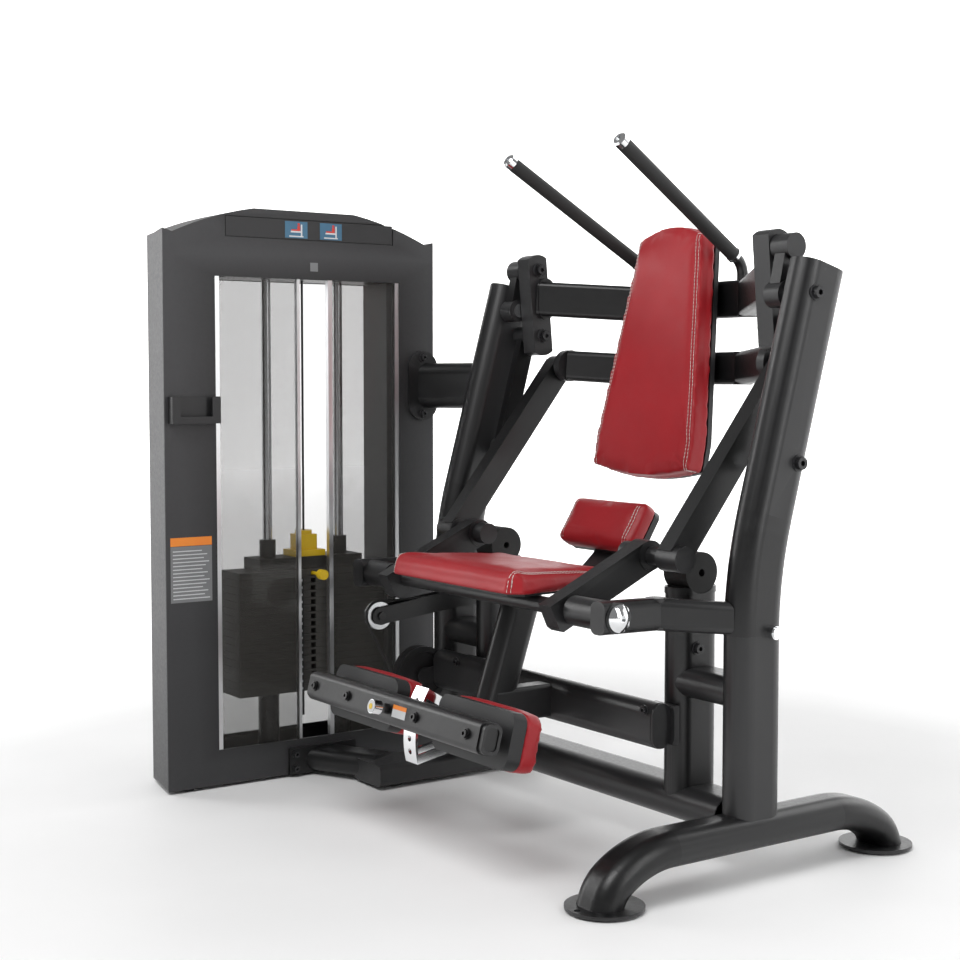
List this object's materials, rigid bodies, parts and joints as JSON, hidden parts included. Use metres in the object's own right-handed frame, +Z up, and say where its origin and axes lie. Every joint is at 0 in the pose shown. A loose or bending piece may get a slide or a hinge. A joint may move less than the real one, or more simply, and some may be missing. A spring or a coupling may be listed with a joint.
{
  "type": "ab crunch machine",
  "caption": "Ab crunch machine: padded seat, shin pads and a linkage-borne back pad with overhead handles on a dark tube frame, beside an enclosed weight tower.",
  "frame": {"origin": "on the floor, under the middle of the machine's overall plan", "axes": "+Z up; the user sits facing -Y; the weight tower stands on the -X side"},
  "size_m": [1.5196, 1.1775, 1.5484],
  "materials": {
    "frame_black": "satin",
    "tower_grey": "matte",
    "black_plastic": "matte",
    "rubber_black": "matte",
    "bolt_black": "satin",
    "chrome": "polished",
    "steel": "satin",
    "red_vinyl": "satin",
    "smoked_glass": "polished",
    "aluminium_trim": "satin",
    "stack_iron": "matte",
    "yellow": "gloss"
  },
  "bodies": {
    "frame": {"base_cross_tube": "frame_black", "left_foot": "frame_black", "tower_ties": "frame_black", "right_foot": "frame_black", "foot_rubbers": "rubber_black", "left_upright": "frame_black", "right_upright": "frame_black", "pivot_arms": "frame_black", "rear_posts": "frame_black", "side_stubs": "frame_black", "lower_rail": "frame_black", "rail_mounts": "frame_black", "frame_bolts": "bolt_black", "pivot_caps": "chrome", "arm_stops": "rubber_black", "pivot_pins": "steel", "seat_post": "frame_black", "seat_boards": "black_plastic", "seat_cushion": "red_vinyl", "lumbar_pad": "red_vinyl", "lumbar_bracket": "frame_black", "shin_sector": "chrome", "cable_bracket": "frame_black", "cables": "rubber_black", "tower_frames": "tower_grey", "tower_sides": "tower_grey", "stack_mounts": "bolt_black", "tower_cap": "tower_grey", "tower_windows": "smoked_glass", "tower_trims": "aluminium_trim", "phone_holder": "black_plastic", "guide_rods": "steel", "tower_plaques": "black_plastic", "weight_plates": "stack_iron", "stack_pulleys": "steel"},
    "crank": {"upper_links": "frame_black"},
    "carriage": {"carriage_plates": "frame_black", "upper_cross_bar": "frame_black", "lower_cross_bar": "frame_black", "carriage_pins": "steel", "carriage_bolts": "bolt_black", "handle_tubes": "frame_black", "handle_grips": "rubber_black", "handle_ends": "chrome", "back_pad": "red_vinyl", "back_pad_shell": "black_plastic", "pad_mount": "frame_black"},
    "lower_link": {"lower_links": "frame_black"},
    "swing": {"swing_shafts": "frame_black", "swing_arms": "frame_black"},
    "diagonal": {"diagonal_links": "frame_black"},
    "lift": {"lifted_stack": "stack_iron"},
    "pin": {"selector_pin": "yellow"},
    "addon": {"addon_selector": "yellow"},
    "shin_unit": {"shin_beam": "frame_black", "shin_shells": "black_plastic", "shin_pads": "red_vinyl"},
    "pull_pin": {"shin_pull_pin": "chrome"},
    "wheel": {"cable_wheel": "steel"},
    "drum": {"cable_drum": "black_plastic"}
  },
  "joints": [
    {"name": "crunch", "type": "hinge", "parent": "frame", "child": "crank", "pos_m": [0.14025, 0.26625, 1.197], "axis": [1, 0, 0], "range_deg": [0, 44]},
    {"name": "carriage_tilt", "type": "hinge", "parent": "crank", "child": "carriage", "pos_m": [0.14025, 0.28825, 1.298], "axis": [1, 0, 0], "range_deg": [-24.4, 0]},
    {"name": "lower_link_turn", "type": "hinge", "parent": "frame", "child": "lower_link", "pos_m": [0.14025, 0.22725, 0.849], "axis": [1, 0, 0], "range_deg": [0, 4.6]},
    {"name": "swing_turn", "type": "hinge", "parent": "frame", "child": "swing", "pos_m": [0.14025, -0.17475, 0.552], "axis": [1, 0, 0], "range_deg": [0, 19]},
    {"name": "diagonal_turn", "type": "hinge", "parent": "swing", "child": "diagonal", "pos_m": [0.14025, 0.03525, 0.65], "axis": [1, 0, 0], "range_deg": [-25.1, 0]},
    {"name": "stack_lift", "type": "slide", "parent": "frame", "child": "lift", "axis": [0, 0, 1], "range_m": [0, 0.305]},
    {"name": "selector_slide", "type": "slide", "parent": "lift", "child": "pin", "axis": [1, 0, 0], "range_m": [0, 0.055]},
    {"name": "addon_turn", "type": "hinge", "parent": "lift", "child": "addon", "pos_m": [-0.68175, -0.16475, 0.56], "axis": [0, 0, 1], "range_deg": [-90, 0]},
    {"name": "shin_adjust", "type": "hinge", "parent": "frame", "child": "shin_unit", "pos_m": [0.14025, -0.15075, 0.243], "axis": [1, 0, 0], "range_deg": [-16, 4]},
    {"name": "pull_pin_slide", "type": "slide", "parent": "shin_unit", "child": "pull_pin", "axis": [0, -0.9703, 0.2419], "range_m": [0, 0.012]},
    {"name": "cable_wheel_turn", "type": "hinge", "parent": "frame", "child": "wheel", "pos_m": [-0.34375, -0.14075, 0.44], "axis": [1, 0, 0], "range_deg": [0, 240]},
    {"name": "drum_turn", "type": "hinge", "parent": "frame", "child": "drum", "pos_m": [-0.34375, -0.01775, 0.281], "axis": [1, 0, 0], "range_deg": [0, 120]}
  ],
  "couplings": [
    {"joint": "carriage_tilt", "follows": "crunch", "ratio": -0.5516},
    {"joint": "lower_link_turn", "follows": "crunch", "ratio": 0.1006},
    {"joint": "swing_turn", "follows": "crunch", "ratio": 0.4288},
    {"joint": "diagonal_turn", "follows": "crunch", "ratio": -0.5681},
    {"joint": "stack_lift", "follows": "crunch", "m_per_rad": 0.39},
    {"joint": "drum_turn", "follows": "crunch", "ratio": 2.6},
    {"joint": "cable_wheel_turn", "follows": "crunch", "ratio": 5.2}
  ]
}
